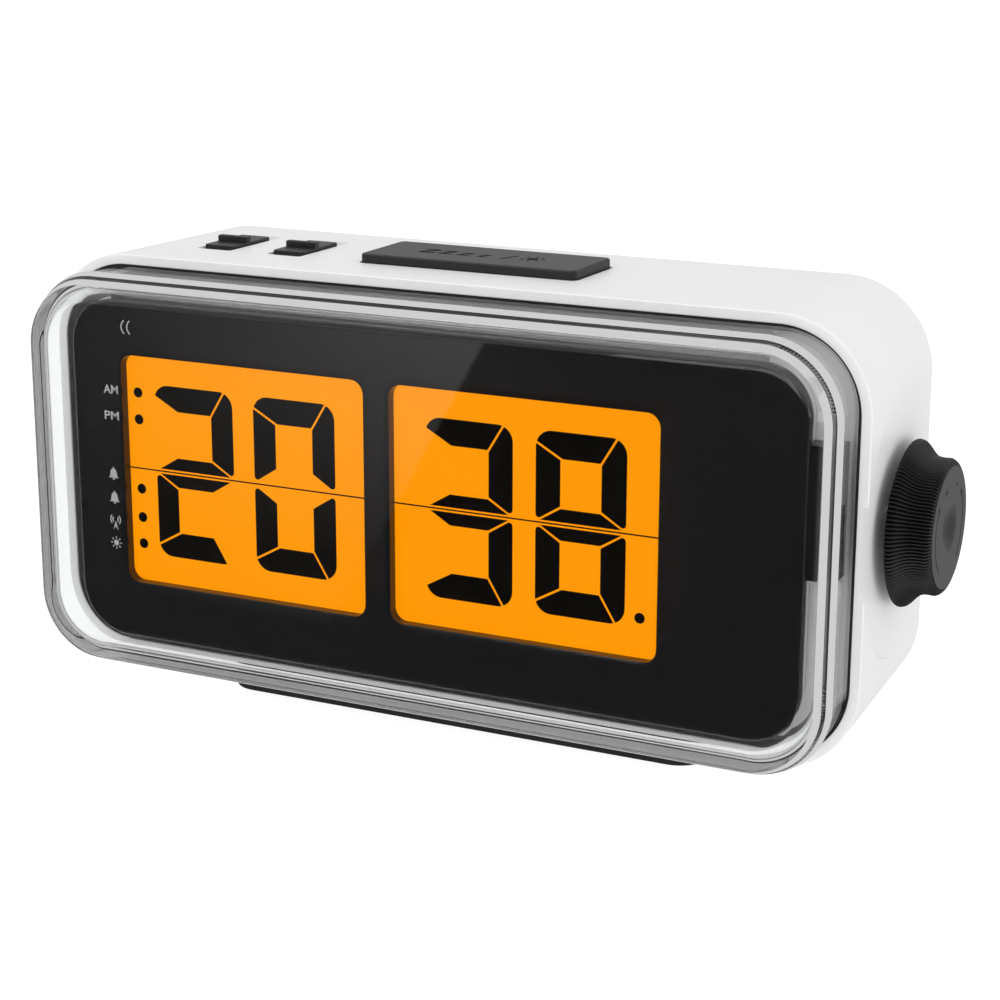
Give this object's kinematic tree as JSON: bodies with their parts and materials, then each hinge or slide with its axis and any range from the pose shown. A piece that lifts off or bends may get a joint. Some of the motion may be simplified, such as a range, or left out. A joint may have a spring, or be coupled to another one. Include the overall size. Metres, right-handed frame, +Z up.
{
  "type": "alarm clock",
  "caption": "Bedside alarm clock: white rounded-box housing, clear front cover over a black panel with amber display windows, snooze bar, alarm sliders and side dial.",
  "frame": {"origin": "on the foot pad's underside, under the middle of the housing sleeve's width and depth", "axes": "+X to the display's right (dial side), +Y towards the back, +Z up"},
  "size_m": [0.1521, 0.05, 0.0781],
  "materials": {
    "white_abs": "satin moulded ABS",
    "clear_acrylic": "polished clear acrylic",
    "black_abs": "fine satin black ABS",
    "panel_black": "smooth black face panel",
    "lcd_amber": "amber lit display glass with black segments",
    "guide_clear": "frosted acrylic light guide",
    "led_phosphor": "moulded lamp body",
    "zebra_rubber": "striped contact rubber",
    "board_green": "solder-masked glass-epoxy board",
    "chip_black": "moulded epoxy",
    "steel": "nickel-plated steel",
    "silicone": "translucent silicone",
    "cell_wrap": "shrink-wrapped cell",
    "ferrite": "sintered ferrite",
    "copper_wire": "enamelled copper wire",
    "foot_rubber": "matt rubber"
  },
  "bodies": {
    "clock_body": {"housing": "white_abs", "display_frame": "white_abs", "rear_cover": "white_abs", "lens_cover": "clear_acrylic", "face_panel": "panel_black", "lcd_hours": "lcd_amber", "lcd_minutes": "lcd_amber", "light_guide_hours": "guide_clear", "light_guide_minutes": "guide_clear", "reflector_hours": "guide_clear", "reflector_minutes": "guide_clear", "backlight_led_hours": "led_phosphor", "backlight_led_minutes": "led_phosphor", "zebra_strip_hours": "zebra_rubber", "zebra_strip_minutes": "zebra_rubber", "main_board": "board_green", "switch_board": "board_green", "encoder_board": "board_green", "clock_chip": "chip_black", "sounder": "chip_black", "crystal": "steel", "encoder_body": "steel", "encoder_nut": "steel", "alarm_1_switch": "steel", "alarm_2_switch": "steel", "board_screw_1": "steel", "board_screw_2": "steel", "board_screw_3": "steel", "board_screw_4": "steel", "cover_screw_1": "steel", "cover_screw_2": "steel", "cover_screw_3": "steel", "cover_screw_4": "steel", "switch_board_screw_1": "steel", "switch_board_screw_2": "steel", "foot_screw_left": "steel", "foot_screw_right": "steel", "battery_plate_1": "steel", "battery_plate_2": "steel", "battery_plate_3": "steel", "battery_spring_1": "steel", "battery_spring_2": "steel", "battery_spring_3": "steel", "snooze_dome_left": "silicone", "snooze_dome_right": "silicone", "battery_tray": "black_abs", "base_foot": "black_abs", "battery_cell_1": "cell_wrap", "battery_cell_2": "cell_wrap", "battery_cell_3": "cell_wrap", "antenna_rod": "ferrite", "antenna_coil": "copper_wire", "foot_pad": "foot_rubber"},
    "snooze": {"snooze_bar": "black_abs"},
    "alarm_1": {"alarm_1_slider": "black_abs"},
    "alarm_2": {"alarm_2_slider": "black_abs"},
    "dial_push": {"encoder_plunger": "black_abs"},
    "dial": {"dial_knob": "black_abs", "encoder_shaft": "steel"},
    "battery_door": {"battery_door": "white_abs"}
  },
  "joints": [
    {"name": "snooze_press", "type": "slide", "parent": "clock_body", "child": "snooze", "axis": [0, 0, -1], "range_m": [0, 0.001], "stiffness_N_per_m": 900, "springref_m": -0.0006, "deforming": ["snooze_dome_left", "snooze_dome_right"]},
    {"name": "alarm_1_slide", "type": "slide", "parent": "clock_body", "child": "alarm_1", "axis": [0, 1, 0], "range_m": [0, 0.003]},
    {"name": "alarm_2_slide", "type": "slide", "parent": "clock_body", "child": "alarm_2", "axis": [0, 1, 0], "range_m": [0, 0.003]},
    {"name": "dial_press", "type": "slide", "parent": "clock_body", "child": "dial_push", "axis": [-1, 0, 0], "range_m": [0, 0.0006], "stiffness_N_per_m": 1200, "springref_m": -0.0006},
    {"name": "dial_turn", "type": "hinge", "parent": "dial_push", "child": "dial", "pos_m": [0.0765, 0.0018, 0.0414], "axis": [1, 0, 0], "continuous": true},
    {"name": "battery_door_open", "type": "hinge", "parent": "clock_body", "child": "battery_door", "pos_m": [-0.0282, 0.0196, 0.0188], "axis": [-1, 0, 0], "range_deg": [0, 75]}
  ]
}
